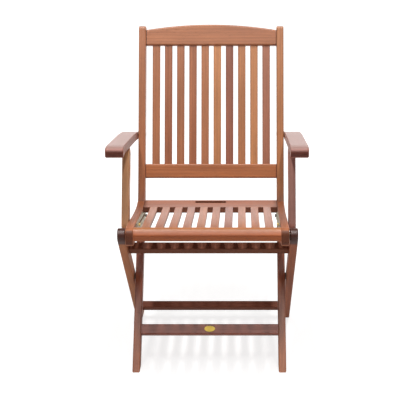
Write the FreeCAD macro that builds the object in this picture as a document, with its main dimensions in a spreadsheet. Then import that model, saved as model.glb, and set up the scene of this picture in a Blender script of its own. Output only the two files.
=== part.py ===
import FreeCAD, Part
import math
import os
import Sketcher
from FreeCAD import Vector, Placement, Rotation

# Folding armchair: two stile-legs that carry the back, a pair of rear legs
# crossing them on a scissor bolt, a slatted seat that hinges on the top of
# the rear legs and hooks on catch pins behind, armrests hinged on the
# stiles and short posts that carry them on the seat rails.
#
# Side view coordinates: y runs backwards and z upwards from the floor;
# origin_y shifts the finished chair so that its footprint is centred.

doc = FreeCAD.newDocument("folding_armchair")

# ---------------------------------------------------------------- dimensions
sheet = doc.addObject("Spreadsheet::Sheet", "dims")
DIMS = [
    # placing of the side-view axes in the chair's own frame
    ("origin_y", 261.54),
    # stile-legs
    ("stile_inner", 204.2), ("stile_thick", 22.0), ("stile_width", 38.0),
    ("foot_y", 55.5), ("lean_low", 36.0), ("lean_high", 20.0),
    ("knee_y", 363.5), ("knee_z", 424.0), ("knee_radius", 450.0),
    ("stile_top_z", 940.0), ("edge_round", 3.0),
    # rear legs
    ("rear_inner", 230.5), ("rear_thick", 22.0), ("rear_width", 40.0),
    ("knuckle_y", 14.0), ("knuckle_z", 432.0), ("rear_foot_y", 467.0),
    ("scissor_y", 222.6), ("scissor_z", 230.0),
    # seat
    ("rail_inner", 203.9), ("rail_thick", 22.3), ("rail_height", 43.0), ("nose_drop", 8.5),
    ("slat_count", 10), ("slat_pitch", 38.2), ("seat_slat_width", 23.0),
    ("seat_slat_thick", 12.0), ("slide_y", 112.0), ("slide_z", 431.5),
    ("slot_width", 8.0), ("plate_thick", 1.9),
    ("pin_y", 331.0), ("pin_z", 388.0), ("pin_dia", 7.0),
    # back
    ("back_slat_width", 23.7), ("back_slat_thick", 11.0),
    ("back_rail_thick", 22.0),
    # arms and posts
    ("arm_thick", 25.0), ("arm_pivot_y", 435.4), ("arm_pivot_z", 621.5),
    ("post_pivot_y", 192.0), ("post_pivot_z", 621.5),
    ("post_inner", 229.5), ("post_thick", 21.5), ("post_width", 36.0),
    # fasteners
    ("bolt_dia", 8.0), ("hole_dia", 8.15), ("arm_bolt_dia", 7.0),
    ("arm_hole_dia", 7.15), ("head_dia", 15.0), ("washer_dia", 21.0), ("nut_recess", 15.0),
    ("bolt_round", 1.6), ("head_recess", 16.0), ("recess_deep", 4.4),
]
for row, (alias, value) in enumerate(DIMS, start=1):
    sheet.set("A%d" % row, alias)
    sheet.set("B%d" % row, str(value))
    sheet.setAlias("B%d" % row, alias)
doc.recompute()


def d(alias):
    return float(getattr(sheet, alias))


def cell(text):
    """Expression text with each alias pointed at the sheet."""
    out = text
    for alias, _ in sorted(DIMS, key=lambda a: -len(a[0])):
        out = out.replace("{" + alias + "}", "dims." + alias)
    return out


# ---------------------------------------------------------------- side view
def rad(a):
    return math.radians(a)


U_LOW = (math.sin(rad(d("lean_low"))), math.cos(rad(d("lean_low"))))
U_HIGH = (math.sin(rad(d("lean_high"))), math.cos(rad(d("lean_high"))))


def along(p, u, dist):
    return (p[0] + u[0] * dist, p[1] + u[1] * dist)


def back_of(u):
    """Unit vector square to u, pointing backwards and down."""
    return (u[1], -u[0])


FOOT = (d("foot_y"), 0.0)
KNEE = (d("knee_y"), d("knee_z"))
KNUCKLE = (d("knuckle_y"), d("knuckle_z"))
REAR_FOOT = (d("rear_foot_y"), 0.0)
SCISSOR = (d("scissor_y"), d("scissor_z"))
ARM_PIVOT = (d("arm_pivot_y"), d("arm_pivot_z"))
POST_PIVOT = (d("post_pivot_y"), d("post_pivot_z"))
SLIDE = (d("slide_y"), d("slide_z"))
PIN = (d("pin_y"), d("pin_z"))
L_B = math.hypot(REAR_FOOT[0] - KNUCKLE[0], REAR_FOOT[1] - KNUCKLE[1])
U_B = ((REAR_FOOT[0] - KNUCKLE[0]) / L_B, (REAR_FOOT[1] - KNUCKLE[1]) / L_B)
N_B = (-U_B[1], U_B[0])
LEAN_B = math.degrees(math.atan2(-U_B[1], U_B[0]))


# ---------------------------------------------------------------- builders
def plane(body, role):
    for feature in body.Origin.OriginFeatures:
        if feature.Role == role:
            return feature
    raise ValueError(role)


def new_body(label):
    body = doc.addObject("PartDesign::Body", label)
    body.Label = label
    body.setExpression("Placement.Base.y", cell("-{origin_y}"))
    return body


def add_sketch(body, name, role, offset):
    sketch = body.newObject("Sketcher::SketchObject", body.Name + "_" + name)
    sketch.AttachmentSupport = (plane(body, role), [""])
    sketch.MapMode = "FlatFace"
    sketch.setExpression("AttachmentOffset.Base.z", cell(offset))
    return sketch


def draw(sketch, segments):
    """Closed outline from L (line), A (arc through a point) and S (spline)."""
    for seg in segments:
        kind, pts = seg[0], [Vector(p[0], p[1], 0) for p in seg[1:]]
        if kind == "L":
            sketch.addGeometry(Part.LineSegment(pts[0], pts[1]), False)
        elif kind == "A":
            sketch.addGeometry(Part.Arc(pts[0], pts[1], pts[2]), False)
        else:
            curve = Part.BSplineCurve()
            curve.interpolate(pts)
            sketch.addGeometry(curve, False)
    tie(sketch, 0, len(segments))


def tie(sketch, base, count):
    """Join the ends that meet and hold the outline where it was drawn."""
    for i in range(count):
        a, b = base + i, base + (i + 1) % count
        pairs = [((sketch.getPoint(a, m) - sketch.getPoint(b, n)).Length, m, n)
                 for m in (1, 2) for n in (1, 2)]
        gap, m, n = min(pairs)
        if gap > 0.02:
            raise RuntimeError("%s: outline open by %.3f after piece %d"
                               % (sketch.Name, gap, i))
        sketch.addConstraint(Sketcher.Constraint("Coincident", a, m, b, n))
    for i in range(count):
        sketch.addConstraint(Sketcher.Constraint("Block", base + i))


def circle(sketch, y, z, dia):
    """Circle whose centre and diameter follow the sheet."""
    cy, cz = eval_expr(y), eval_expr(z)
    index = sketch.addGeometry(
        Part.Circle(Vector(cy, cz, 0), Vector(0, 0, 1), eval_expr(dia) / 2), False)
    first = sketch.ConstraintCount
    sketch.addConstraint([
        Sketcher.Constraint("Diameter", index, eval_expr(dia)),
        Sketcher.Constraint("DistanceX", -1, 1, index, 3, cy),
        Sketcher.Constraint("DistanceY", -1, 1, index, 3, cz)])
    for n, expr in enumerate((dia, y, z)):
        sketch.setExpression("Constraints[%d]" % (first + n), cell(expr))


def eval_expr(text):
    """Value of the short sums and products used for hole positions."""
    total, sign = 0.0, 1.0
    for token in text.replace("-", " - ").replace("+", " + ").split():
        if token == "-":
            sign = -1.0
        elif token == "+":
            sign = 1.0
        else:
            factor = 1.0
            for piece in token.split("*"):
                factor *= d(piece[1:-1]) if piece.startswith("{") else float(piece)
            total += sign * factor
            sign = 1.0
    return total


def pad(body, sketch, length, both=False):
    feature = body.newObject("PartDesign::Pad", body.Name + "_pad")
    feature.Profile = sketch
    feature.setExpression("Length", cell(length))
    if both:
        feature.Midplane = True
    body.Tip = feature
    doc.recompute()
    return feature


def pocket(body, sketch, name="pocket"):
    """Cut right through, both ways from the sketch."""
    feature = body.newObject("PartDesign::Pocket", body.Name + "_" + name)
    feature.Profile = sketch
    feature.Type = 1
    feature.Midplane = True
    before = body.Shape.Volume
    body.Tip = feature
    doc.recompute()
    if not body.Shape.Volume < before - 1.0:
        raise RuntimeError(body.Name + "_" + name + " cuts nothing")
    return feature


def fillet(body, base, radius, pick=None):
    """Round the edges that pick accepts (all of them when it is left out)."""
    names = []
    for i, edge in enumerate(base.Shape.Edges, start=1):
        if pick is None or pick(edge):
            names.append("Edge%d" % i)
    feature = body.newObject("PartDesign::Fillet", body.Name + "_fillet")
    feature.Base = (base, names)
    feature.setExpression("Radius", cell(radius))
    body.Tip = feature
    doc.recompute()
    if feature.Shape.isNull() or not feature.isValid():
        raise RuntimeError("%s: %s" % (feature.Name, feature.getStatusString()))
    return feature


def flat_in_x(edge):
    """Edges that run round the two cheeks of a side-view board."""
    box = edge.BoundBox
    return box.XLength < 0.01


def flat_in_y(edge):
    return edge.BoundBox.YLength < 0.01


def flat_in_z(edge):
    return edge.BoundBox.ZLength < 0.01


def side_board(label, outline, low, thick, rounding="{edge_round}", holes=(),
               slots=(), pick=flat_in_x):
    """Board cut to a side-view outline, standing from x=low, thick wide."""
    body = new_body(label)
    sketch = add_sketch(body, "outline", "YZ_Plane", low)
    draw(sketch, outline)
    tip = pad(body, sketch, thick)
    if rounding:
        tip = fillet(body, tip, rounding, pick)
    for n, (y, z, dia) in enumerate(holes):
        hole = add_sketch(body, "hole%d" % n, "YZ_Plane", low)
        circle(hole, y, z, dia)
        tip = pocket(body, hole, "bore%d" % n)
    for n, outline_ in enumerate(slots):
        slot = add_sketch(body, "slot%d" % n, "YZ_Plane", low)
        draw(slot, outline_)
        tip = pocket(body, slot, "mortise%d" % n)
    return body


def both_sides(name, outline, inner, thick, **kw):
    """The same board on the right (+x) and on the left (-x)."""
    right = side_board(name + "_right", outline, inner, thick, **kw)
    left = side_board(name + "_left", outline, "-(%s) - %s" % (inner, thick),
                      thick, **kw)
    return left, right


def capsule(p, q, width):
    """Round-ended slot from p to q."""
    length = math.hypot(q[0] - p[0], q[1] - p[1])
    u = ((q[0] - p[0]) / length, (q[1] - p[1]) / length)
    v = (-u[1], u[0])
    r = width / 2
    a, b = along(p, v, r), along(q, v, r)
    c, e = along(q, v, -r), along(p, v, -r)
    return [("L", a, b), ("A", b, along(q, u, r), c), ("L", c, e),
            ("A", e, along(p, u, -r), a)]


def rounded(points, radii):
    """Polygon with its corners rounded by tangent arcs."""
    count = len(points)
    enter, leave, middle = [], [], []
    for i in range(count):
        p0, p1, p2 = points[i - 1], points[i], points[(i + 1) % count]
        r = radii[i] if isinstance(radii, (list, tuple)) else radii
        a = (p0[0] - p1[0], p0[1] - p1[1])
        b = (p2[0] - p1[0], p2[1] - p1[1])
        la, lb = math.hypot(*a), math.hypot(*b)
        a, b = (a[0] / la, a[1] / la), (b[0] / lb, b[1] / lb)
        half = math.acos(max(-1, min(1, a[0] * b[0] + a[1] * b[1]))) / 2
        if r <= 0:
            enter.append(p1), leave.append(p1), middle.append(None)
            continue
        cut = r / math.tan(half)
        enter.append(along(p1, a, cut))
        leave.append(along(p1, b, cut))
        m = (a[0] + b[0], a[1] + b[1])
        lm = math.hypot(*m)
        m = (m[0] / lm, m[1] / lm)
        middle.append(along(p1, m, r / math.sin(half) - r))
    out = []
    for i in range(count):
        j = (i + 1) % count
        if middle[i] is not None:
            out.append(("A", enter[i], middle[i], leave[i]))
        out.append(("L", leave[i], enter[j]))
    return out


# ---------------------------------------------------------------- stile-legs
def stile_outline():
    half = d("stile_width") / 2
    low, high = back_of(U_LOW), back_of(U_HIGH)
    turn = rad(d("lean_low") - d("lean_high")) / 2
    reach = d("knee_radius") * math.tan(turn)
    start, end = along(KNEE, U_LOW, -reach), along(KNEE, U_HIGH, reach)
    centre = along(start, low, -d("knee_radius"))
    mid_dir = (math.cos(rad((d("lean_low") + d("lean_high")) / 2)),
               -math.sin(rad((d("lean_low") + d("lean_high")) / 2)))
    top = along(KNEE, U_HIGH, (d("stile_top_z") - KNEE[1]) / U_HIGH[1])
    out = []
    foot_half = half / math.cos(rad(d("lean_low")))
    f0, f1 = (FOOT[0] - foot_half, 0.0), (FOOT[0] + foot_half, 0.0)
    s0, e0 = along(start, low, -half), along(end, high, -half)
    s1, e1 = along(start, low, half), along(end, high, half)
    t0, t1 = along(top, high, -half), along(top, high, half)
    m0 = along(centre, mid_dir, d("knee_radius") - half)
    m1 = along(centre, mid_dir, d("knee_radius") + half)
    r = 9.0
    out.append(("L", f0, s0))
    out.append(("A", s0, m0, e0))
    a0, b0 = along(t0, U_HIGH, -r), along(t0, high, r)
    a1, b1 = along(t1, U_HIGH, -r), along(t1, high, -r)
    c0 = along(along(t0, U_HIGH, -r), high, r)
    c1 = along(along(t1, U_HIGH, -r), high, -r)
    k = r * math.sqrt(0.5)
    out.append(("L", e0, a0))
    out.append(("A", a0, along(along(c0, high, -k), U_HIGH, k), b0))
    out.append(("L", b0, b1))
    out.append(("A", b1, along(along(c1, high, k), U_HIGH, k), a1))
    out.append(("L", a1, e1))
    out.append(("A", e1, m1, s1))
    out.append(("L", s1, f1))
    out.append(("L", f1, f0))
    return out


both_sides("stile_leg", stile_outline(), "{stile_inner}", "{stile_thick}",
           holes=[("{scissor_y}", "{scissor_z}", "{bolt_dia}"),
                  ("{arm_pivot_y}", "{arm_pivot_z}", "{arm_bolt_dia}")])


def recess(label, name, face, y, z, dia, deep, into):
    """Round blind recess cut from the face at x=face towards +x or -x."""
    body_ = doc.getObject(label)
    sketch = add_sketch(body_, name, "YZ_Plane", face)
    circle(sketch, y, z, dia)
    cut = body_.newObject("PartDesign::Pocket", label + "_" + name + "_cut")
    cut.Profile = sketch
    cut.Reversed = into > 0
    cut.setExpression("Length", cell(deep))
    before = body_.Shape.Volume
    body_.Tip = cut
    doc.recompute()
    if not body_.Shape.Volume < before - 300.0:
        raise RuntimeError(label + "_" + name + " cuts nothing")


for side, sign in (("right", 1), ("left", -1)):
    # recesses in the inner faces for the nuts of the arm and scissor bolts
    recess("stile_leg_" + side, "arm_nut", "%d * {stile_inner}" % sign,
           "{arm_pivot_y}", "{arm_pivot_z}", "{nut_recess}", "5.0", sign)
    recess("stile_leg_" + side, "scissor_nut", "%d * {stile_inner}" % sign,
           "{scissor_y}", "{scissor_z}", "{nut_recess}", "{recess_deep}", sign)

# ---------------------------------------------------------------- rear legs
half_b = d("rear_width") / 2
drop = half_b / math.sin(rad(LEAN_B))
rear_outline = [
    ("L", (REAR_FOOT[0] - drop, 0.0), (REAR_FOOT[0] + drop, 0.0)),
    ("L", (REAR_FOOT[0] + drop, 0.0), along(KNUCKLE, N_B, half_b)),
    ("A", along(KNUCKLE, N_B, half_b), along(KNUCKLE, U_B, -half_b),
     along(KNUCKLE, N_B, -half_b)),
    ("L", along(KNUCKLE, N_B, -half_b), (REAR_FOOT[0] - drop, 0.0))]
both_sides("rear_leg", rear_outline, "{rear_inner}", "{rear_thick}",
           holes=[("{scissor_y}", "{scissor_z}", "{hole_dia}"),
                  ("{knuckle_y}", "{knuckle_z}", "{bolt_dia}")])
for side, sign in (("right", 1), ("left", -1)):
    # recesses in the outer faces, so that the bolt heads lie flush
    face = "%d * {rear_inner} + %d * {rear_thick}" % (sign, sign)
    recess("rear_leg_" + side, "scissor_head", face, "{scissor_y}", "{scissor_z}",
           "{head_recess}", "{recess_deep}", -sign)
    recess("rear_leg_" + side, "knuckle_head", face, "{knuckle_y}", "{knuckle_z}",
           "{head_recess}", "{recess_deep}", -sign)


def on_b(s_, off):
    return along(along(KNUCKLE, U_B, s_), N_B, off)


def cross_board(label, points, radius, half_width, rounding=None, pick=None):
    """Board that runs across the chair between -half and +half width."""
    body = new_body(label)
    sketch = add_sketch(body, "section", "YZ_Plane", "-" + half_width)
    draw(sketch, rounded(points, radius))
    tip = pad(body, sketch, "2 * " + half_width)
    if rounding:
        fillet(body, tip, rounding, pick)
    return body


cross_board("upper_cross_rail",
            [on_b(87, -4), on_b(119.5, -4), on_b(119.5, 18.6), on_b(87, 18.6)],
            3.0, "{rear_inner}")
cross_board("lower_stretcher",
            [on_b(549, -5), on_b(578, -5), on_b(578, 17.6), on_b(549, 17.6)],
            3.0, "{rear_inner}")

# front stretcher, square to the lower run of the stile-legs
low_n = back_of(U_LOW)


def on_a(s_, off):
    return along(along(FOOT, U_LOW, s_), low_n, off)


cross_board("front_stretcher",
            [on_a(100.5, -17.5), on_a(132, -17.5), on_a(132, 4.5), on_a(100.5, 4.5)],
            3.0, "{stile_inner}")

# ---------------------------------------------------------------- seat
# dished top line of the seat: long straight runs eased by large arcs
CROWN = [(-41.0, 467.2), (30.0, 461.2), (215.0, 435.9), (300.0, 430.2), (352.0, 437.0)]
CROWN_R = [0, 700.0, 900.0, 300.0, 0]


def crown_points():
    pts = []
    for seg in rounded(CROWN, CROWN_R)[:-1]:
        if seg[0] == "L":
            edge = Part.LineSegment(*[Vector(p[0], p[1], 0) for p in seg[1:]])
        else:
            edge = Part.Arc(*[Vector(p[0], p[1], 0) for p in seg[1:]])
        for v in edge.toShape().discretize(40):
            pts.append((v.x, v.y))
    return sorted(pts)


CROWN_PTS = crown_points()


def crown_z(y):
    """Height of the seat's dished top line at y."""
    for (y0, z0), (y1, z1) in zip(CROWN_PTS, CROWN_PTS[1:]):
        if y0 <= y <= y1 and y1 > y0:
            return z0 + (z1 - z0) * (y - y0) / (y1 - y0)
    raise ValueError(y)


def front_face_y(z, gap):
    """Front of the stile-leg at height z, less a gap."""
    half = d("stile_width") / 2
    turn = rad(d("lean_low") - d("lean_high")) / 2
    reach = d("knee_radius") * math.tan(turn)
    start = along(KNEE, U_LOW, -reach)
    centre = along(start, back_of(U_LOW), -d("knee_radius"))
    r = d("knee_radius") - half - gap
    zz = z - centre[1]
    return centre[0] + math.sqrt(r * r - zz * zz)


def seat_rail_outline():
    depth = d("rail_height")
    y_top = front_face_y(crown_z(337), 2.6)
    z_low = crown_z(312) - depth
    y_low = front_face_y(z_low, 2.6)
    top = CROWN[:4] + [(y_top, crown_z(y_top))]
    low = [(y_low, z_low)] + [(y, z - depth - more) for (y, z), more
                              in zip(CROWN[2::-1], (0.0, d("nose_drop") - 1.5, d("nose_drop")))]
    return rounded(top + low, [18.0] + CROWN_R[1:4] + [4.0, 4.0]
                   + [CROWN_R[2], CROWN_R[1], 18.0])


slot_u = (math.cos(rad(-8.77)), math.sin(rad(-8.77)))
SLOT_A = along(SLIDE, slot_u, -0.2)
SLOT_B = along(SLIDE, slot_u, 190.0)
both_sides("seat_rail", seat_rail_outline(), "{rail_inner}", "{rail_thick}",
           holes=[("{knuckle_y}", "{knuckle_z}", "{hole_dia}")],
           slots=[capsule(SLOT_A, SLOT_B, d("slot_width"))])

# slotted plates on the inner faces of the rails, hooked over the catch pins
hook_dir = (-0.39, -0.92)
n_hook = (0.92, -0.39)


def slot_plate_outline():
    """Plate that follows the rail and ends in a saddle over the catch pin."""
    r = d("pin_dia") / 2 + 0.6
    wall = along(PIN, n_hook, -r)
    foot = along(wall, hook_dir, 11.0)
    top = [(46.0, crown_z(46) - 3.4), (130.0, crown_z(130) - 3.2),
           (215.0, crown_z(215) - 3.2), (234.0, crown_z(234) - 3.2),
           (246.0, 422.5), (275.5, 417.0), (279.0, 411.4), (300.0, 412.1),
           (341.5, 413.8)]
    saddle = (PIN[0], PIN[1] + r)
    arc_mid = (PIN[0] - r * math.cos(rad(57)), PIN[1] + r * math.sin(rad(57)))
    pts = top + [(341.8, 409.5), (336.6, 400.2), saddle]
    out = [("L", p, q) for p, q in zip(pts, pts[1:])]
    out.append(("A", saddle, arc_mid, wall))
    low = [wall, foot, (310.0, 380.5), (284.0, crown_z(284) - 41.5),
           (215.0, crown_z(215) - 41.0), (130.0, crown_z(130) - 41.0),
           (46.0, crown_z(46) - 41.0), top[0]]
    out += [("L", p, q) for p, q in zip(low, low[1:])]
    return out


both_sides("slot_plate", slot_plate_outline(), "{rail_inner} - {plate_thick}",
           "{plate_thick}", rounding=None,
           slots=[capsule(SLOT_A, SLOT_B, d("slot_width"))])

# front rail with its bullnose
body = new_body("seat_front_rail")
sk = add_sketch(body, "section", "YZ_Plane", "-{rail_inner}")
draw(sk, [("L", (-15.5, 429.8), (-15.5, crown_z(-15.5))),
          ("L", (-15.5, crown_z(-15.5)), (-20, crown_z(-20) - 0.3)),
          ("S", (-20, crown_z(-20) - 0.3), (-27, 462.9), (-33, 457.0),
           (-37, 450.6)),
          ("A", (-37, 450.6), (-38.0, 448.6), (-38.2, 446.4)),
          ("L", (-38.2, 446.4), (-37.2, 436.8)),
          ("A", (-37.2, 436.8), (-35.0, 431.9), (-30, 429.8)),
          ("L", (-30, 429.8), (-15.5, 429.8))])
pad(body, sk, "2 * {rail_inner}")

# rear rail: a flat board with a hand slot
body = new_body("seat_rear_rail")
sk = add_sketch(body, "section", "YZ_Plane", "-{rail_inner}")
ys = (281.0, 301.0, 321.0, 341.5)
top_pts = [(y, crown_z(y)) for y in ys]
low_pts = [(y, crown_z(y) - 17.5 - 1.9 * (y < 290.0)) for y in ys]
draw(sk, [("S",) + tuple(top_pts), ("L", top_pts[-1], low_pts[-1]),
          ("S",) + tuple(low_pts[::-1]), ("L", low_pts[0], top_pts[0])])
rear = pad(body, sk, "2 * {rail_inner}")
rear = fillet(body, rear, "2.0", lambda e: e.BoundBox.XLength > 300)
sk = add_sketch(body, "hand_slot", "XY_Plane", "{knuckle_z}")
draw(sk, capsule((-41.0, 325.5), (41.0, 325.5), 15.0))
pocket(body, sk, "hand_slot_cut")


# seat slats
def seat_slat_outline():
    top_ = [(y, crown_z(y)) for y in (-15.5, 20, 57, 95, 130, 165, 200, 230, 256, 281)]
    low_ = [(y, z - d("seat_slat_thick")) for y, z in top_]
    return [("S",) + tuple(top_), ("L", top_[-1], low_[-1]),
            ("S",) + tuple(low_[::-1]), ("L", low_[0], top_[0])]


slat_outline = seat_slat_outline()
for i in range(int(d("slat_count"))):
    shift = i - (int(d("slat_count")) - 1) / 2.0
    side_board("seat_slat_%02d" % (i + 1), slat_outline,
               "%s * {slat_pitch} - 0.5 * {seat_slat_width}" % shift,
               "{seat_slat_width}", rounding="2.0",
               pick=lambda e: e.BoundBox.XLength < 0.01 and e.BoundBox.YLength > 100)

# ---------------------------------------------------------------- back
# The back lies in the plane of the upper run of the stile-legs. Its pieces
# are drawn upright in a local frame whose z axis follows that run.
TILT = Rotation(Vector(1, 0, 0), -d("lean_high"))


def back_point(z):
    """Centre line of the upper run at height z."""
    return along(KNEE, U_HIGH, (z - KNEE[1]) / U_HIGH[1])


def tilted_body(label, z, x="0"):
    body_ = doc.addObject("PartDesign::Body", label)
    body_.Label = label
    p = back_point(z)
    body_.Placement = Placement(Vector(0, p[0] - d("origin_y"), z), TILT)
    body_.setExpression("Placement.Base.x", cell(x))
    body_.setExpression("Placement.Base.y", cell("%.6f - {origin_y}" % p[0]))
    return body_


LOW_Z, LOW_TOP = 492.6, 533.4
TOP_LOW = 883.7
low_len = (LOW_TOP - LOW_Z) / math.cos(rad(d("lean_high")))
slat_len = (TOP_LOW - LOW_TOP) / math.cos(rad(d("lean_high")))

body = tilted_body("lower_back_rail", LOW_Z)
sk = add_sketch(body, "section", "YZ_Plane", "-{stile_inner}")
t = d("back_rail_thick") / 2
draw(sk, rounded([(-t, 0), (t, 0), (t, low_len), (-t, low_len)], 4.0))
pad(body, sk, "2 * {stile_inner}")

body = tilted_body("top_back_rail", TOP_LOW)
sk = add_sketch(body, "outline", "XZ_Plane", "-0.5 * {back_rail_thick}")
w = d("stile_inner")
end_h, mid_h = 48.9, 65.8
arch = [(x, mid_h - (mid_h - end_h) * (abs(x) / w) ** 2.0)
        for x in (-w, -w * 0.75, -w * 0.5, -w * 0.25, 0, w * 0.25, w * 0.5, w * 0.75, w)]
draw(sk, [("L", (-w, 0), (w, 0)), ("L", (w, 0), (w, end_h)),
          ("S",) + tuple(arch[::-1]), ("L", (-w, end_h), (-w, 0))])
tip = pad(body, sk, "{back_rail_thick}")
fillet(body, tip, "5.0", lambda e: e.BoundBox.XLength > 300)

for i in range(int(d("slat_count"))):
    shift = i - (int(d("slat_count")) - 1) / 2.0
    body = tilted_body("back_slat_%02d" % (i + 1), LOW_TOP,
                       "%s * {slat_pitch}" % shift)
    sk = add_sketch(body, "section", "XY_Plane", "0 * {edge_round}")
    a, b = d("back_slat_width") / 2, d("back_slat_thick") / 2
    draw(sk, rounded([(-a, -b), (a, -b), (a, b), (-a, b)], 2.5))
    pad(body, sk, "%.6f" % slat_len)

# ---------------------------------------------------------------- arms
ARM_LINE = ((38.0, 685.9), (345.0, 645.4), (449.0, 627.2))


def arm_top(y):
    """Top line of the armrest, a little steeper in its rear part."""
    a, b = ARM_LINE[:2] if y <= ARM_LINE[1][0] else ARM_LINE[1:]
    return a[1] + (b[1] - a[1]) * (y - a[0]) / (b[0] - a[0])


def arm_outline():
    thick = d("arm_thick")
    return rounded([(3.0, 657.4), (3.0, 685.6), ARM_LINE[0], ARM_LINE[1], ARM_LINE[2],
                    (449.0, 627.2 - thick + 2.0), (345.0, arm_top(345.0) - thick + 0.3),
                    (55.0, arm_top(55.0) - thick)],
                   [6.0, 17.0, 180.0, 2500.0, 11.0, 11.0, 2500.0, 200.0])


for side, sign in (("right", 1), ("left", -1)):
    low = "228.35" if sign > 0 else "-283.0"
    body = new_body("armrest_" + side)
    sk = add_sketch(body, "profile", "YZ_Plane", low)
    draw(sk, arm_outline())
    pad(body, sk, "54.65")
    # plan shape, cut by an outline with a wide frame round it
    sk = add_sketch(body, "plan", "XY_Plane", "640.0")
    frame_pts = [(sign * 215.0, -40.0), (sign * 300.0, -40.0),
                 (sign * 300.0, 500.0), (sign * 215.0, 500.0)]
    inner_pts = [(sign * 222.0, -20.0), (sign * 278.8, -20.0),
                 (sign * 280.0, 480.0), (sign * 222.0, 480.0)]
    loops = []
    for loop, radius in ((frame_pts, 0), (inner_pts, 0)):
        segs = rounded(loop, radius)
        loops.append(segs)
    base_index = 0
    for segs in loops:
        for seg in segs:
            pts = [Vector(p[0], p[1], 0) for p in seg[1:]]
            sk.addGeometry(Part.LineSegment(*pts) if seg[0] == "L"
                           else Part.Arc(*pts), False)
        tie(sk, base_index, len(segs))
        base_index += len(segs)
    tip = pocket(body, sk, "plan_cut")
    tip = fillet(body, tip, "4.5", lambda e: e.BoundBox.XLength < 5.0
                 and abs(e.BoundBox.Center.x) > 250.0)
    tip = fillet(body, tip, "2.0", lambda e: e.BoundBox.XLength < 1.0
                 and abs(e.BoundBox.Center.x) < 229.5)
    hole = add_sketch(body, "pivot", "YZ_Plane", "0 * {edge_round}")
    circle(hole, "{arm_pivot_y}", "{arm_pivot_z}", "{arm_hole_dia}")
    bore = body.newObject("PartDesign::Pocket", body.Name + "_pivot_bore")
    bore.Profile = hole
    bore.Reversed = sign > 0
    bore.Length = 262.0
    before = body.Shape.Volume
    body.Tip = bore
    doc.recompute()
    if not body.Shape.Volume < before - 100.0:
        raise RuntimeError("arm pivot bore cuts nothing")


def arm_under(y):
    return arm_top(y) - d("arm_thick")


block = [(174, arm_under(174)), (174, 620), (180, 613.3), (204, 613.3), (210, 620),
         (210, arm_under(210))]
both_sides("arm_block", rounded(block, [0, 3, 6, 6, 3, 0]), "253.0", "22.0",
           rounding=None,
           holes=[("{post_pivot_y}", "{post_pivot_z}", "{bolt_dia}")])

# ---------------------------------------------------------------- posts
post_outline = capsule(SLIDE, POST_PIVOT, d("post_width"))
both_sides("arm_post", post_outline, "{post_inner}", "{post_thick}",
           holes=[("{post_pivot_y}", "{post_pivot_z}", "{hole_dia}"),
                  ("{slide_y}", "{slide_z}", "{bolt_dia}")])
for side, sign in (("right", 1), ("left", -1)):
    recess("arm_post_" + side, "top_head", "%d * {post_inner}" % sign,
           "{post_pivot_y}", "{post_pivot_z}", "{head_recess}", "{recess_deep}", sign)
    recess("arm_post_" + side, "foot_head",
           "%d * {post_inner} + %d * {post_thick}" % (sign, sign),
           "{slide_y}", "{slide_z}", "{head_recess}", "{recess_deep}", -sign)


# ---------------------------------------------------------------- hardware
def rod(name, y, z, x_low, x_high, dia, rim=None):
    """Cylinder along x; rim rounds the circular edge at x_high or x_low."""
    c = doc.addObject("Part::Cylinder", name)
    c.setExpression("Radius", cell("0.5 * (%s)" % dia))
    c.setExpression("Height", cell("(%s) - (%s)" % (x_high, x_low)))
    c.Placement = Placement(Vector(0, 0, 0), Rotation(Vector(0, 1, 0), 90))
    c.setExpression("Placement.Base.x", cell(x_low))
    c.setExpression("Placement.Base.y", cell("%s - {origin_y}" % y))
    c.setExpression("Placement.Base.z", cell(z))
    doc.recompute()
    if rim:
        where = eval_expr(x_high) if rim == "high" else eval_expr(x_low)
        f = doc.addObject("Part::Fillet", name + "_rim")
        f.Base = c
        r = min(1.6, 0.45 * (eval_expr(x_high) - eval_expr(x_low)))
        f.Edges = [(i, r, r) for i, e in enumerate(c.Shape.Edges, start=1)
                   if abs(e.BoundBox.XMin - where) < 0.01
                   and abs(e.BoundBox.XMax - where) < 0.01]
        doc.recompute()
        return f
    return c


def joined(name, pieces):
    f = doc.addObject("Part::MultiFuse", name)
    f.Shapes = pieces
    f.Refine = True
    doc.recompute()
    return f


def drilled(name, base, tool):
    f = doc.addObject("Part::Cut", name)
    f.Base, f.Tool = base, tool
    doc.recompute()
    return f


def pair(label, right):
    """The right-hand piece and its mirror image in one node."""
    m = doc.addObject("Part::Mirroring", label + "_mirror")
    m.Source = right
    m.Normal = Vector(1, 0, 0)
    m.Base = Vector(0, 0, 0)
    c = doc.addObject("Part::Compound", label)
    c.Label = label
    c.Links = [right, m]
    doc.recompute()
    return c


def single(label, right, mirrored):
    """One side only, under its own label."""
    c = doc.addObject("Part::Mirroring" if mirrored else "Part::Compound", label)
    c.Label = label
    if mirrored:
        c.Source = right
        c.Normal = Vector(1, 0, 0)
        c.Base = Vector(0, 0, 0)
    else:
        c.Links = [right]
    doc.recompute()
    return c


def washer(name, y, z, lo, hi, dia, bore):
    return drilled(name, rod(name + "_disc", y, z, lo, hi, dia),
                   rod(name + "_bore", y, z, lo + " - 1", hi + " + 1", bore))


# scissor bolts with a domed head outside and a cap nut inside
pair("scissor_bolts", joined("scissor_bolt_one", [
    rod("scissor_shank", "{scissor_y}", "{scissor_z}", "206.0", "250.0", "{bolt_dia}"),
    rod("scissor_head", "{scissor_y}", "{scissor_z}", "248.6", "252.2", "{head_dia}", "high"),
    rod("scissor_nut", "{scissor_y}", "{scissor_z}", "204.6", "208.4", "{head_dia} - 1", "low")]))
pair("scissor_washers", washer("scissor_washer_one", "{scissor_y}", "{scissor_z}",
                               "226.2", "230.4", "{washer_dia}", "{bolt_dia}"))
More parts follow.
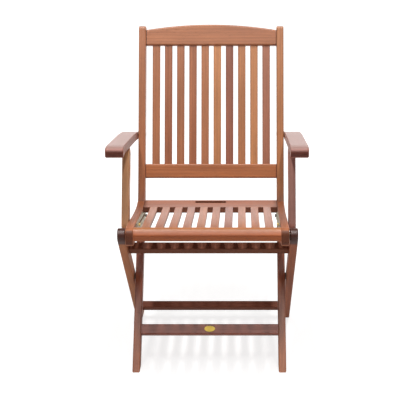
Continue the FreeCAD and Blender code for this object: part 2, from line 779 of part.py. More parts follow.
# knuckle bolts at the top of the rear legs
pair("knuckle_bolts", joined("knuckle_bolt_one", [
    rod("knuckle_shank", "{knuckle_y}", "{knuckle_z}", "202.0", "250.0", "{bolt_dia}"),
    rod("knuckle_head", "{knuckle_y}", "{knuckle_z}", "248.2", "252.2", "{head_dia}", "high"),
    rod("knuckle_nut", "{knuckle_y}", "{knuckle_z}", "200.0", "203.6", "{head_dia} - 1", "low")]))
pair("knuckle_washers", washer("knuckle_washer_one", "{knuckle_y}", "{knuckle_z}",
                               "226.3", "230.5", "{washer_dia}", "{bolt_dia}"))
# catch pins on the inner faces of the stile-legs
pair("catch_pins", joined("catch_pin_one", [
    rod("catch_shank", "{pin_y}", "{pin_z}", "200.0", "{stile_inner}", "{pin_dia}"),
    rod("catch_head", "{pin_y}", "{pin_z}", "198.6", "201.6", "{pin_dia} + 4", "low")]))
# arm pivot bolts, their spacers and nuts
pair("arm_bolts", rod("arm_bolt_one", "{arm_pivot_y}", "{arm_pivot_z}", "205.6", "260.0", "{arm_bolt_dia}"))
pair("arm_spacers", washer("arm_spacer_one", "{arm_pivot_y}", "{arm_pivot_z}",
                           "226.2", "228.35", "19.0", "{arm_bolt_dia}"))
pair("arm_bolt_nuts", washer("arm_nut_one", "{arm_pivot_y}", "{arm_pivot_z}",
                             "206.0", "209.2", "13.0", "{arm_bolt_dia}"))
# post top bolts, carried by the blocks under the arms
top_bolt = joined("post_top_bolt_one", [
    rod("post_top_shank", "{post_pivot_y}", "{post_pivot_z}", "231.0", "276.0", "{bolt_dia}"),
    rod("post_top_inner", "{post_pivot_y}", "{post_pivot_z}", "229.8", "233.3", "{head_dia}", "low"),
    rod("post_top_outer", "{post_pivot_y}", "{post_pivot_z}", "275.0", "277.6", "{head_dia} - 2", "high")])
single("post_top_bolt_right", top_bolt, False)
single("post_top_bolt_left", top_bolt, True)
foot_bolt = joined("post_foot_bolt_one", [
    rod("post_foot_shank", "{slide_y}", "{slide_z}", "{post_inner}", "248.0", "{bolt_dia}"),
    rod("post_foot_head", "{slide_y}", "{slide_z}", "246.6", "250.6", "{head_dia}", "high")])
single("post_foot_bolt_right", foot_bolt, False)
single("post_foot_bolt_left", foot_bolt, True)
slide_bolt = joined("slide_bolt_one", [
    rod("slide_shank", "{slide_y}", "{slide_z}", "199.0", "228.5", "{slot_width} - 0.6"),
    rod("slide_head", "{slide_y}", "{slide_z}", "197.6", "201.7", "9.5", "low")])
single("slide_bolt_right", slide_bolt, False)
single("slide_bolt_left", slide_bolt, True)

# screws that hold the slotted plates, four to a side, and the badge plate
screws = []
for n, (y, off) in enumerate(((62.0, 12.0), (96.0, 30.0), (205.0, 33.0), (272.0, 34.0))):
    z = crown_z(y) - off
    screws.append(rod("plate_screw_%d" % n, "%.3f" % y, "%.3f" % z, "200.7", "202.0", "6.5", "low"))
group = doc.addObject("Part::Compound", "plate_screws_right")
group.Links = screws
doc.recompute()
pair("plate_screws", group)

badge = doc.addObject("Part::Feature", "oval_plate")
face_mid = on_a(117.0, -17.5)
ring = Part.Ellipse(Vector(0, 0, 0), 16.0, 8.75).toShape()
plate = Part.Face(Part.Wire(ring)).extrude(Vector(0, 0, 1.2))
plate = plate.makeFillet(0.5, [e for e in plate.Edges
                               if abs(e.BoundBox.ZMin - 1.2) < 1e-3 and e.BoundBox.ZLength < 1e-3])
badge.Shape = plate
badge.Label = "oval_plate"
badge.Placement = Placement(Vector(0, face_mid[0] - d("origin_y"), face_mid[1]),
                            Rotation(Vector(1, 0, 0), 90 - d("lean_low")))

# ---------------------------------------------------------------- output
doc.recompute()
NODES = (["stile_leg_left", "stile_leg_right", "rear_leg_left", "rear_leg_right",
          "upper_cross_rail", "lower_stretcher", "front_stretcher", "oval_plate",
          "seat_rail_left", "seat_rail_right", "slot_plate_left", "slot_plate_right",
          "plate_screws", "seat_front_rail", "seat_rear_rail",
          "top_back_rail", "lower_back_rail",
          "armrest_left", "armrest_right", "arm_block_left", "arm_block_right",
          "arm_post_left", "arm_post_right",
          "scissor_bolts", "scissor_washers", "knuckle_bolts", "knuckle_washers",
          "catch_pins", "arm_bolts", "arm_spacers", "arm_bolt_nuts",
          "post_top_bolt_left", "post_top_bolt_right",
          "post_foot_bolt_left", "post_foot_bolt_right",
          "slide_bolt_left", "slide_bolt_right"]
         + ["seat_slat_%02d" % (i + 1) for i in range(10)]
         + ["back_slat_%02d" % (i + 1) for i in range(10)])

for obj in doc.Objects:
    if "Invalid" in obj.State or "Error" in obj.State:
        raise RuntimeError("%s is %s" % (obj.Name, obj.State))

shapes = {}
for name in NODES:
    found = [o for o in doc.Objects if o.Label == name]
    if len(found) != 1:
        raise RuntimeError("%s: %d objects" % (name, len(found)))
    shape = found[0].Shape
    if shape.isNull() or not shape.isValid() or shape.Volume <= 0:
        raise RuntimeError(name + " has no valid shape")
    shapes[name] = shape

os.makedirs("parts", exist_ok=True)
low, high = [1e9] * 3, [-1e9] * 3
for name in NODES:
    shape = shapes[name]
    box = shape.optimalBoundingBox()
    low = [min(low[0], box.XMin), min(low[1], box.YMin), min(low[2], box.ZMin)]
    high = [max(high[0], box.XMax), max(high[1], box.YMax), max(high[2], box.ZMax)]
    shape.exportStep("parts/" + name + ".step")
print("%d nodes, box %s to %s" % (len(NODES), [round(v, 2) for v in low],
                                  [round(v, 2) for v in high]))
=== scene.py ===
import math

import bpy
from mathutils import Euler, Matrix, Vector

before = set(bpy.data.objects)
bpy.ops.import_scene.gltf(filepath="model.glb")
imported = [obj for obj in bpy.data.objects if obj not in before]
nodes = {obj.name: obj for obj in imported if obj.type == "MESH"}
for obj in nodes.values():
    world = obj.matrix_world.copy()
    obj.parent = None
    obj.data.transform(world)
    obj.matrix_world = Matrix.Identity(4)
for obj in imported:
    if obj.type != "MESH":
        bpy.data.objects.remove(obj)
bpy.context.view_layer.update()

scene = bpy.context.scene
scene.view_settings.view_transform = "Standard"
scene.view_settings.look = "None"
scene.view_settings.exposure = 0.0
scene.view_settings.gamma = 1.0

# --------------------------------------------------------------- directions
LOW = math.radians(36.0)      # lean of the lower run of the stile-legs
HIGH = math.radians(20.0)     # lean of the upper run and the back
REAR = math.radians(43.64)    # fall of the rear legs
UP_LOW = Vector((0, math.sin(LOW), math.cos(LOW)))
UP_HIGH = Vector((0, math.sin(HIGH), math.cos(HIGH)))
DOWN_REAR = Vector((0, math.cos(REAR), -math.sin(REAR)))
POST = Vector((0, 80.0, 190.0)).normalized()
ARM = Vector((0, 1.0, -0.1303)).normalized()
SEAT = Vector((0, 1.0, -0.11)).normalized()
ACROSS = Vector((1, 0, 0))


# --------------------------------------------------------------- node helpers
class Tree:
    """Small helper for building a material's nodes left to right."""

    def __init__(self, name):
        self.mat = bpy.data.materials.new(name)
        self.mat.use_nodes = True
        self.nt = self.mat.node_tree
        self.nt.nodes.clear()
        self.out = self.add("ShaderNodeOutputMaterial")
        self.bsdf = self.add("ShaderNodeBsdfPrincipled")
        self.link(self.bsdf.outputs[0], self.out.inputs[0])

    def add(self, kind, **values):
        node = self.nt.nodes.new(kind)
        for key, value in values.items():
            setattr(node, key, value)
        return node

    def link(self, a, b):
        self.nt.links.new(a, b)

    def math(self, op, a, b=None, clamp=False):
        node = self.add("ShaderNodeMath", operation=op, use_clamp=clamp)
        for i, v in enumerate((a, b)):
            if v is None:
                continue
            if isinstance(v, (int, float)):
                node.inputs[i].default_value = v
            else:
                self.link(v, node.inputs[i])
        return node.outputs[0]

    def ramp(self, fac, stops, mode="LINEAR"):
        node = self.add("ShaderNodeValToRGB")
        node.color_ramp.interpolation = mode
        els = node.color_ramp.elements
        els[0].position, els[0].color = stops[0][0], (*stops[0][1], 1)
        els[1].position, els[1].color = stops[-1][0], (*stops[-1][1], 1)
        for pos, col in stops[1:-1]:
            e = els.new(pos)
            e.color = (*col, 1)
        self.link(fac, node.inputs[0])
        return node.outputs[0]

    def mix(self, fac, a, b, blend="MIX"):
        node = self.add("ShaderNodeMix", data_type="RGBA", blend_type=blend)
        if isinstance(fac, (int, float)):
            node.inputs[0].default_value = fac
        else:
            self.link(fac, node.inputs[0])
        for sock, v in ((node.inputs[6], a), (node.inputs[7], b)):
            if isinstance(v, tuple):
                sock.default_value = (*v, 1)
            else:
                self.link(v, sock)
        return node.outputs[2]

    def noise(self, vec, scale, detail=3.0, rough=0.55, distort=0.0):
        node = self.add("ShaderNodeTexNoise")
        node.inputs["Scale"].default_value = scale
        node.inputs["Detail"].default_value = detail
        node.inputs["Roughness"].default_value = rough
        node.inputs["Distortion"].default_value = distort
        self.link(vec, node.inputs["Vector"])
        return node.outputs[0]

    def mapped(self, source, rotation=(0, 0, 0), scale=(1, 1, 1), offset=(0, 0, 0)):
        node = self.add("ShaderNodeMapping")
        node.inputs["Rotation"].default_value = rotation
        node.inputs["Scale"].default_value = scale
        node.inputs["Location"].default_value = offset
        self.link(source, node.inputs["Vector"])
        return node.outputs[0]


def shade(col, k):
    return tuple(max(0.0, min(1.0, c * k)) for c in col)


# tones of oiled hardwood, named for how a board reads beside its neighbours
TONES = {
    "orange": (0.540, 0.205, 0.090),
    "amber": (0.600, 0.245, 0.100),
    "honey": (0.560, 0.196, 0.070),
    "golden": (0.695, 0.295, 0.120),
    "straw": (0.850, 0.440, 0.215),
    "rosy": (0.480, 0.190, 0.110),
    "pale_rosy": (0.560, 0.270, 0.215),
    "red": (0.385, 0.132, 0.076),
    "brown": (0.510, 0.180, 0.078),
    "russet": (0.455, 0.158, 0.072),
    "umber": (0.465, 0.152, 0.058),
    "copper": (0.500, 0.172, 0.064),
    "caramel": (0.560, 0.196, 0.056),
    "rust": (0.530, 0.178, 0.072),
    "sienna": (0.450, 0.130, 0.050),
    "mahogany": (0.350, 0.088, 0.044),
    "cherry": (0.380, 0.118, 0.074),
    "dark": (0.250, 0.080, 0.043),
    "dusk": (0.205, 0.068, 0.034),
}


def wood(name, tone, axis, seed, calm=1.0, end_from=0.80, end_to=0.96,
         gloss=0.0, shine=0.5, sheen=0.04, joint=None, stain=None, deep=None,
         deeper=1.0, front=None, top_sheen=0.0):
    """Oiled hardwood with the grain running along axis (a unit vector).

    calm scales the figure; joint is the distance from the middle at which the
    board meets its neighbours, drawn as a fine dark line of painted shadow; stain is
    the place along axis, in metres, before which the end of the board is oiled dark;
    deep is the height below which painted shade makes the board darker and redder,
    and deeper scales that; front tints the faces that look to the front darker with
    painted shade; top_sheen paints a pale sheen onto those that look up.
    """
    figure = streak = calm
    t = Tree(name)
    base = TONES[tone]
    coord = t.add("ShaderNodeTexCoord")
    # turn the board so that its length lies along the texture's x
    turn = axis.rotation_difference(Vector((1, 0, 0))).to_euler()
    place = t.mapped(coord.outputs["Object"], rotation=tuple(turn))
    shift = t.mapped(place, offset=(seed * 0.731, seed * 0.377, seed * 0.593))

    # growth figure: long wavering bands
    wander = t.noise(t.mapped(shift, scale=(5.0, 26.0, 26.0)), 1.0, 3.0, 0.5)
    wave = t.add("ShaderNodeTexWave", wave_type="RINGS", rings_direction="X",
                 wave_profile="SIN")
    wave.inputs["Scale"].default_value = 1.0
    wave.inputs["Distortion"].default_value = 5.5
    wave.inputs["Detail"].default_value = 3.0
    wave.inputs["Detail Scale"].default_value = 1.4
    wave.inputs["Detail Roughness"].default_value = 0.6
    t.link(t.mapped(shift, scale=(2.2, 34.0, 34.0)), wave.inputs["Vector"])
    # fine fibres and open pores drawn out along the length
    fibre = t.noise(t.mapped(shift, scale=(16.0, 620.0, 620.0)), 1.0, 4.0, 0.62)
    pores = t.noise(t.mapped(shift, scale=(75.0, 1500.0, 1500.0)), 1.0, 2.0, 0.5)
    pore = t.ramp(pores, [(0.30, (1, 1, 1)), (0.40, (0, 0, 0))])
    broad = t.noise(t.mapped(shift, scale=(3.2, 11.0, 11.0)), 1.0, 2.0, 0.5)
    stripes = t.noise(t.mapped(shift, scale=(1.6, 95.0, 95.0)), 1.0, 3.0, 0.55)

    body = t.ramp(wander, [(0.25, shade(base, 0.80)), (0.5, base),
                           (0.78, shade(base, 1.17))])
    dark = (base[0] * 0.60, base[1] * 0.52, base[2] * 0.50)
    light = (min(1, base[0] * 1.24), min(1, base[1] * 1.28), min(1, base[2] * 1.26))
    ring = t.math("POWER", wave.outputs[1], 2.0)
    col = t.mix(t.math("MULTIPLY", ring, 0.34 * figure), body, dark)
    col = t.mix(t.math("MULTIPLY", t.ramp(stripes, [(0.50, (0, 0, 0)), (0.72, (1, 1, 1))]),
                       0.42 * streak), col, dark)
    col = t.mix(t.math("MULTIPLY", t.ramp(stripes, [(0.28, (1, 1, 1)), (0.48, (0, 0, 0))]),
                       0.45 * streak), col, light)
    col = t.mix(t.math("MULTIPLY", t.ramp(fibre, [(0.45, (0, 0, 0)), (0.80, (1, 1, 1))]),
                       0.30 * calm), col, dark)
    col = t.mix(t.math("MULTIPLY", t.ramp(fibre, [(0.22, (1, 1, 1)), (0.50, (0, 0, 0))]),
                       0.26 * calm), col, light)
    col = t.mix(t.math("MULTIPLY", pore, 0.55 * calm), col, shade(dark, 0.6))
    col = t.mix(t.math("MULTIPLY", t.ramp(broad, [(0.35, (0, 0, 0)), (0.70, (1, 1, 1))]),
                       0.30), col, (base[0] * 0.70, base[1] * 0.62, base[2] * 0.68))

    # sawn ends drink more oil: darker, with the rings showing as dots
    facing = t.add("ShaderNodeVectorMath", operation="DOT_PRODUCT")
    t.link(coord.outputs["Normal"], facing.inputs[0])
    facing.inputs[1].default_value = tuple(axis)
    end = t.ramp(t.math("ABSOLUTE", facing.outputs["Value"]),
                 [(end_from, (0, 0, 0)), (end_to, (1, 1, 1))])
    speck = t.noise(t.mapped(shift, scale=(300.0, 520.0, 520.0)), 1.0, 2.0, 0.6)
    end_col = t.ramp(speck, [(0.3, shade(dark, 0.45)), (0.7, shade(base, 0.50))])
    col = t.mix(end, col, end_col)
    along = t.add("ShaderNodeVectorMath", operation="DOT_PRODUCT")
    t.link(coord.outputs["Object"], along.inputs[0])
    along.inputs[1].default_value = tuple(axis)
    if stain is not None:
        # the ramp runs over 40 mm, centred on the edge of the stain
        far = t.math("MULTIPLY_ADD", along.outputs["Value"], 25.0)
        t.nt.nodes[-1].inputs[2].default_value = 0.5 - 25.0 * stain
        soak = t.ramp(far, [(0.30, (1, 1, 1)), (0.62, (0, 0, 0))])
        wet = t.ramp(speck, [(0.3, (0.040, 0.008, 0.004)), (0.7, (0.110, 0.030, 0.018))])
        col = t.mix(t.math("MULTIPLY", soak, 0.95), col, wet)
    # painted shadow: a fine dark line where the board meets its neighbours
    if joint is not None:
        # 1.0 at the joint, falling to 0 within 2 mm
        gap = t.math("ABSOLUTE", t.math("SUBTRACT", t.math("ABSOLUTE", along.outputs["Value"]),
                                        joint))
        line = t.ramp(t.math("MULTIPLY", gap, 250.0), [(0.20, (1, 1, 1)), (0.55, (0, 0, 0))])
        col = t.mix(t.math("MULTIPLY", line, 0.80), col, shade(dark, 0.35))
    # painted shade: below the given height the board is made darker and redder, less so near the floor
    if deep is not None:
        parts = t.add("ShaderNodeSeparateXYZ")
        t.link(coord.outputs["Object"], parts.inputs[0])
        low = t.ramp(parts.outputs[2], [(0.04, (0.84, 0.72, 0.74)), (0.20, shade((0.72, 0.51, 0.51), deeper)),
                                        (deep - 0.06, shade((0.72, 0.51, 0.51), deeper)),
                                        (deep + 0.02, (1, 1, 1))])
        col = t.mix(1.0, col, low, "MULTIPLY")
    # painted shade: faces that look to the front are tinted darker by the given colour
    if front is not None:
        ahead = t.add("ShaderNodeVectorMath", operation="DOT_PRODUCT")
        t.link(coord.outputs["Normal"], ahead.inputs[0])
        ahead.inputs[1].default_value = (0, -1, 0)
        seen = t.ramp(ahead.outputs["Value"], [(0.55, (0, 0, 0)), (0.90, (1, 1, 1))])
        col = t.mix(seen, col, front, "MULTIPLY")
    # painted sheen: faces that look up are mixed toward a pale pink
    if top_sheen:
        up = t.add("ShaderNodeVectorMath", operation="DOT_PRODUCT")
        t.link(coord.outputs["Normal"], up.inputs[0])
        up.inputs[1].default_value = (0, 0, 1)
        top = t.ramp(up.outputs["Value"], [(0.70, (0, 0, 0)), (0.97, (1, 1, 1))])
        col = t.mix(t.math("MULTIPLY", top, top_sheen), col, (0.50, 0.36, 0.33))
    t.link(col, t.bsdf.inputs["Base Color"])

    rough = t.math("MULTIPLY_ADD", fibre, 0.20)
    t.nt.nodes[-1].inputs[2].default_value = 0.26 - gloss
    rough = t.math("ADD", rough, t.math("MULTIPLY", pore, 0.10))
    level = shine
    if stain is not None:
        rough = t.math("SUBTRACT", rough, t.math("MULTIPLY", soak, 0.10))
        level = t.math("MULTIPLY_ADD", soak, 0.55 - shine)
        t.nt.nodes[-1].inputs[2].default_value = shine
    t.link(rough, t.bsdf.inputs["Roughness"])
    if stain is None:
        t.bsdf.inputs["Specular IOR Level"].default_value = level
    else:
        t.link(level, t.bsdf.inputs["Specular IOR Level"])
    t.bsdf.inputs["IOR"].default_value = 1.5
    t.bsdf.inputs["Coat Weight"].default_value = 0.04
    t.bsdf.inputs["Coat Roughness"].default_value = 0.32
    t.bsdf.inputs["Sheen Weight"].default_value = sheen
    t.bsdf.inputs["Sheen Roughness"].default_value = 0.45
    t.bsdf.inputs["Sheen Tint"].default_value = (1.0, 0.86, 0.80, 1)

    height = t.math("ADD", t.math("MULTIPLY", fibre, 0.7), t.math("MULTIPLY", pore, -0.55))
    height = t.math("ADD", height, t.math("MULTIPLY", ring, -0.20))
    bump = t.add("ShaderNodeBump")
    bump.inputs["Strength"].default_value = 0.32 * calm
    bump.inputs["Distance"].default_value = 0.00035
    t.link(height, bump.inputs["Height"])
    t.link(bump.outputs[0], t.bsdf.inputs["Normal"])
    return t.mat


def brass(name, base=(0.47, 0.40, 0.27), rough=0.36, brushed=ACROSS, patchy=1.0,
          metallic=0.85):
    """Aged brass: brushed along one direction, dulled in patches."""
    t = Tree(name)
    coord = t.add("ShaderNodeTexCoord")
    turn = brushed.rotation_difference(Vector((1, 0, 0))).to_euler()
    place = t.mapped(coord.outputs["Object"], rotation=tuple(turn))
    lines = t.noise(t.mapped(place, scale=(40.0, 1800.0, 1800.0)), 1.0, 3.0, 0.6)
    patch = t.noise(place, 55.0, 4.0, 0.6)
    spots = t.noise(place, 420.0, 2.0, 0.5)
    col = t.ramp(patch, [(0.32, shade(base, 1 - 0.38 * patchy)), (0.55, base),
                         (0.75, shade(base, 1 + 0.22 * patchy))])
    col = t.mix(t.math("MULTIPLY", t.ramp(spots, [(0.60, (0, 0, 0)), (0.75, (1, 1, 1))]),
                       0.5 * patchy), col, shade(base, 0.4))
    t.link(col, t.bsdf.inputs["Base Color"])
    t.bsdf.inputs["Metallic"].default_value = metallic
    r = t.math("MULTIPLY_ADD", lines, 0.22)
    t.nt.nodes[-1].inputs[2].default_value = rough - 0.11
    t.link(t.math("ADD", r, t.math("MULTIPLY", patch, 0.12)), t.bsdf.inputs["Roughness"])
    bump = t.add("ShaderNodeBump")
    bump.inputs["Strength"].default_value = 0.2
    bump.inputs["Distance"].default_value = 0.0001
    t.link(lines, bump.inputs["Height"])
    t.link(bump.outputs[0], t.bsdf.inputs["Normal"])
    return t.mat


def steel(name, base=(0.16, 0.13, 0.11), metallic=0.9, rough=0.42):
    """Darkened steel hardware with faint turning marks and dull spots."""
    t = Tree(name)
    coord = t.add("ShaderNodeTexCoord")
    spots = t.noise(coord.outputs["Object"], 260.0, 4.0, 0.65)
    fine = t.noise(t.mapped(coord.outputs["Object"], scale=(2500.0, 120.0, 120.0)), 1.0, 2.0, 0.5)
    col = t.ramp(spots, [(0.3, shade(base, 0.6)), (0.55, base), (0.8, shade(base, 1.8))])
    t.link(col, t.bsdf.inputs["Base Color"])
    t.bsdf.inputs["Metallic"].default_value = metallic
    r = t.math("MULTIPLY_ADD", spots, 0.25)
    t.nt.nodes[-1].inputs[2].default_value = rough - 0.12
    t.link(r, t.bsdf.inputs["Roughness"])
    bump = t.add("ShaderNodeBump")
    bump.inputs["Strength"].default_value = 0.25
    bump.inputs["Distance"].default_value = 0.0001
    t.link(fine, bump.inputs["Height"])
    t.link(bump.outputs[0], t.bsdf.inputs["Normal"])
    return t.mat


def assign(node, mat):
    ob = nodes[node]
    if not ob.material_slots:
        ob.data.materials.append(mat)
    for s in ob.material_slots:
        s.material = mat


# --------------------------------------------------------------- boards
BOARDS = {
    "stile_leg_left": ("orange", UP_HIGH), "stile_leg_right": ("amber", UP_HIGH),
    "rear_leg_left": ("honey", DOWN_REAR), "rear_leg_right": ("sienna", DOWN_REAR),
    "top_back_rail": ("orange", ACROSS), "lower_back_rail": ("honey", ACROSS),
    "front_stretcher": ("mahogany", ACROSS), "upper_cross_rail": ("dusk", ACROSS),
    "lower_stretcher": ("dark", ACROSS),
    "seat_front_rail": ("caramel", ACROSS), "seat_rear_rail": ("rosy", ACROSS),
    "seat_rail_left": ("rust", SEAT), "seat_rail_right": ("rust", SEAT),
    "armrest_left": ("cherry", ARM), "armrest_right": ("cherry", ARM),
    "arm_block_left": ("dark", UP_LOW), "arm_block_right": ("dark", UP_LOW),
    "arm_post_left": ("straw", POST), "arm_post_right": ("pale_rosy", POST),
}
BACK = ["orange", "russet", "orange", "brown", "orange", "golden", "red", "amber", "golden", "rosy"]
SEATS = ["copper", "umber", "umber", "rosy", "copper", "umber", "red", "copper", "umber", "rosy"]
for i in range(10):
    BOARDS["back_slat_%02d" % (i + 1)] = (BACK[i], UP_HIGH)
    BOARDS["seat_slat_%02d" % (i + 1)] = (SEATS[i], SEAT)

# what sets some boards apart: armrests rubbed smooth, with a painted pale sheen on
# their tops; painted shade on the faces that look to the front on armrests and seat
# rails, and on the stile-legs below the seat; boards under the seat dull; knuckles
# soaked dark with oil; painted shadow lines where the rails meet the stiles
KNUCKLE = -0.4773
JOINT = 0.2035
OWN = {
    "stile_leg_left": {"deep": 0.45, "deeper": 0.93},
    "stile_leg_right": {"deep": 0.45, "deeper": 0.80},
    "armrest": {"calm": 0.45, "gloss": -0.06, "sheen": 0.12, "top_sheen": 0.6,
                "front": (1.0, 0.74, 0.62)},
    "arm_post": {"calm": 0.8},
    "upper_cross_rail": {"gloss": -0.28, "shine": 0.12},
    "lower_stretcher": {"gloss": -0.28, "shine": 0.15},
    "rear_leg": {"gloss": -0.14, "shine": 0.32, "stain": KNUCKLE + 0.020,
                 "end_from": 0.58, "end_to": 0.80},
    "seat_rail": {"gloss": -0.14, "shine": 0.32, "end_from": 0.58, "end_to": 0.80,
                  "front": (0.88, 0.74, 0.72)},
    "top_back_rail": {"joint": JOINT}, "lower_back_rail": {"joint": JOINT},
    "seat_rear_rail": {"joint": JOINT, "front": (0.60, 0.52, 0.45)},
    "seat_front_rail": {"gloss": 0.02, "front": (1.0, 0.70, 0.56)},
    "seat_slat": {"gloss": 0.03},
}

for seed, (node, (tone, axis)) in enumerate(sorted(BOARDS.items()), start=3):
    own = next((v for k, v in OWN.items() if node.startswith(k)), {})
    assign(node, wood("wood_" + node, tone, axis, seed, **own))

PLATE_DIR = Vector((0, math.cos(math.radians(8.77)), -math.sin(math.radians(8.77))))
assign("slot_plate_left", brass("brass_plate_left", (0.64, 0.56, 0.40), 0.42, PLATE_DIR, 0.6, 0.6))
assign("slot_plate_right", brass("brass_plate_right", (0.60, 0.52, 0.38), 0.42, PLATE_DIR, 0.6, 0.6))
assign("oval_plate", brass("brass_oval", (0.86, 0.60, 0.10), 0.42, ACROSS, 0.25, 0.35))
assign("plate_screws", brass("brass_screws", (0.50, 0.41, 0.24), 0.34, ACROSS))
for side in ("left", "right"):
    assign("slide_bolt_" + side, brass("brass_bolt_" + side, (0.90, 0.66, 0.22), 0.30, ACROSS, 0.3, 0.5))
    assign("post_top_bolt_" + side, steel("steel_post_top_" + side))
    assign("post_foot_bolt_" + side, steel("steel_post_foot_" + side))
for node in ("scissor_bolts", "scissor_washers", "knuckle_bolts", "knuckle_washers",
             "catch_pins", "arm_bolts", "arm_spacers", "arm_bolt_nuts"):
    assign(node, steel("steel_" + node))

# --------------------------------------------------------------- floor
NEAR, FAR, PAPER = 0.24, 1.45, 0.775
mesh = bpy.data.meshes.new("floor")
n, size = 60, 14.0
verts, faces = [], []
for j in range(n + 1):
    # a level floor that sweeps up far behind the chair
    y = -6.0 + size * 1.2 * j / n
    z = 0.0 if y < 5.0 else (y - 5.0) ** 2 * 0.12
    for i in range(2):
        verts.append(((-0.5 + i) * size * 2.0, y, z))
for j in range(n):
    faces.append((2 * j, 2 * j + 1, 2 * j + 3, 2 * j + 2))
mesh.from_pydata(verts, [], faces)
mesh.update()
floor = bpy.data.objects.new("floor", mesh)
scene.collection.objects.link(floor)
for p in mesh.polygons:
    p.use_smooth = True
t = Tree("floor_paper")
t.bsdf.inputs["Base Color"].default_value = (0.40, 0.40, 0.40, 1)
t.bsdf.inputs["Roughness"].default_value = 0.8
t.bsdf.inputs["Specular IOR Level"].default_value = 0.0
t.bsdf.inputs["Emission Color"].default_value = (1.0, 1.0, 1.0, 1)
# white paper to the eye; as a source of light it is dim round the chair and
# bright far behind it, where the backdrop is lit
coord = t.add("ShaderNodeTexCoord")
split = t.add("ShaderNodeSeparateXYZ")
t.link(coord.outputs["Object"], split.inputs[0])
away = t.ramp(t.math("MULTIPLY", split.outputs[1], 0.1),
              [(0.0, (NEAR,) * 3), (0.11, (NEAR,) * 3), (0.20, (FAR,) * 3), (1.0, (FAR,) * 3)])
reach = t.add("ShaderNodeVectorMath", operation="LENGTH")
t.link(coord.outputs["Object"], reach.inputs[0])
seen = t.ramp(t.math("MULTIPLY", reach.outputs["Value"], 0.1),
              [(0.0, (PAPER,) * 3), (0.055, (PAPER,) * 3), (0.13, (1.0,) * 3), (1.0, (1.0,) * 3)])
path = t.add("ShaderNodeLightPath")
glow = t.mix(path.outputs["Is Camera Ray"], away, seen)
t.link(glow, t.bsdf.inputs["Emission Strength"])
mesh.materials.append(t.mat)

# --------------------------------------------------------------- light
# A white studio: bright above and behind, dim in front and below; the
# camera itself sees plain white paper past the floor.
world = bpy.data.worlds.new("studio")
scene.world = world
world.use_nodes = True
nt = world.node_tree
nt.nodes.clear()
w_out = nt.nodes.new("ShaderNodeOutputWorld")
w_mix = nt.nodes.new("ShaderNodeMixShader")
w_path = nt.nodes.new("ShaderNodeLightPath")
w_seen = nt.nodes.new("ShaderNodeBackground")
w_seen.inputs[0].default_value = (1, 1, 1, 1)
w_seen.inputs[1].default_value = 1.0
w_lit = nt.nodes.new("ShaderNodeBackground")
w_coord = nt.nodes.new("ShaderNodeTexCoord")
w_dot = nt.nodes.new("ShaderNodeVectorMath")
w_dot.operation = "DOT_PRODUCT"
w_dot.inputs[1].default_value = tuple(Vector((0, 0.62, 0.78)).normalized())
w_half = nt.nodes.new("ShaderNodeMath")
w_half.operation = "MULTIPLY_ADD"
w_half.inputs[1].default_value = 0.5
w_half.inputs[2].default_value = 0.5
w_ramp = nt.nodes.new("ShaderNodeValToRGB")
stops = [(0.0, 0.04), (0.30, 0.115), (0.50, 0.145), (0.80, 0.16), (1.0, 0.22)]
els = w_ramp.color_ramp.elements
els[0].position, els[0].color = stops[0][0], (stops[0][1],) * 3 + (1,)
els[1].position, els[1].color = stops[-1][0], (stops[-1][1],) * 3 + (1,)
for pos, val in stops[1:-1]:
    els.new(pos).color = (val, val, val, 1)
nt.links.new(w_coord.outputs["Generated"], w_dot.inputs[0])
nt.links.new(w_dot.outputs["Value"], w_half.inputs[0])
nt.links.new(w_half.outputs[0], w_ramp.inputs[0])
nt.links.new(w_ramp.outputs[0], w_lit.inputs[0])
w_lit.inputs[1].default_value = 1.0
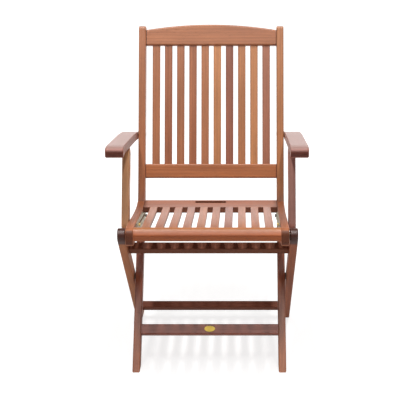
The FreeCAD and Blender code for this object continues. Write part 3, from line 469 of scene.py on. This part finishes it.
# polished faces see a brighter ceiling behind the chair
w_gleam = nt.nodes.new("ShaderNodeBackground")
w_gleam.inputs[1].default_value = 1.0
w_high = nt.nodes.new("ShaderNodeValToRGB")
stops = [(0.0, 0.04), (0.30, 0.11), (0.50, 0.15), (0.80, 0.42), (1.0, 0.50)]
els = w_high.color_ramp.elements
els[0].position, els[0].color = stops[0][0], (stops[0][1],) * 3 + (1,)
els[1].position, els[1].color = stops[-1][0], (stops[-1][1],) * 3 + (1,)
for pos, val in stops[1:-1]:
    els.new(pos).color = (val, val, val, 1)
nt.links.new(w_half.outputs[0], w_high.inputs[0])
nt.links.new(w_high.outputs[0], w_gleam.inputs[0])
w_both = nt.nodes.new("ShaderNodeMixShader")
nt.links.new(w_path.outputs["Is Glossy Ray"], w_both.inputs[0])
nt.links.new(w_lit.outputs[0], w_both.inputs[1])
nt.links.new(w_gleam.outputs[0], w_both.inputs[2])
nt.links.new(w_path.outputs["Is Camera Ray"], w_mix.inputs[0])
nt.links.new(w_both.outputs[0], w_mix.inputs[1])
nt.links.new(w_seen.outputs[0], w_mix.inputs[2])
nt.links.new(w_mix.outputs[0], w_out.inputs[0])


def area(name, loc, target, size, power, color=(1, 1, 1)):
    data = bpy.data.lights.new(name, "AREA")
    data.shape = "RECTANGLE"
    data.size, data.size_y = size
    data.energy = power
    data.color = color
    ob = bpy.data.objects.new(name, data)
    ob.location = loc
    ob.rotation_euler = (Vector(target) - Vector(loc)).to_track_quat("-Z", "Y").to_euler()
    scene.collection.objects.link(ob)
    return ob


for side in (-1, 1):
    strip = area("strip_%s" % ("left" if side < 0 else "right"), (side * 0.85, -1.0, 4.8),
                 (0, 0, 0), (0.08, 2.8), 101.0, (1.0, 0.99, 0.975))
    # long side parallel to the slats, tipped towards the chair
    strip.rotation_euler = (math.radians(15.0), 0, 0)

# a wide soft panel overhead, seen only as the gleam on rounded front edges
panel = area("panel", (0.0, -3.0, 3.95), (0, -0.25, 0.45), (3.4, 1.1), 56.0)
panel.visible_diffuse = False

# --------------------------------------------------------------- camera
cam_data = bpy.data.cameras.new("camera")
cam = bpy.data.objects.new("camera", cam_data)
scene.collection.objects.link(cam)
cam.location = (0.091, -3.0663, 1.3971)
cam.rotation_euler = Euler((math.radians(73.0), 0, 0))
cam_data.sensor_width = 36.0
cam_data.lens = 95.67
cam_data.shift_x = -0.10075
cam_data.clip_end = 100.0
cam_data.dof.use_dof = False
scene.camera = cam
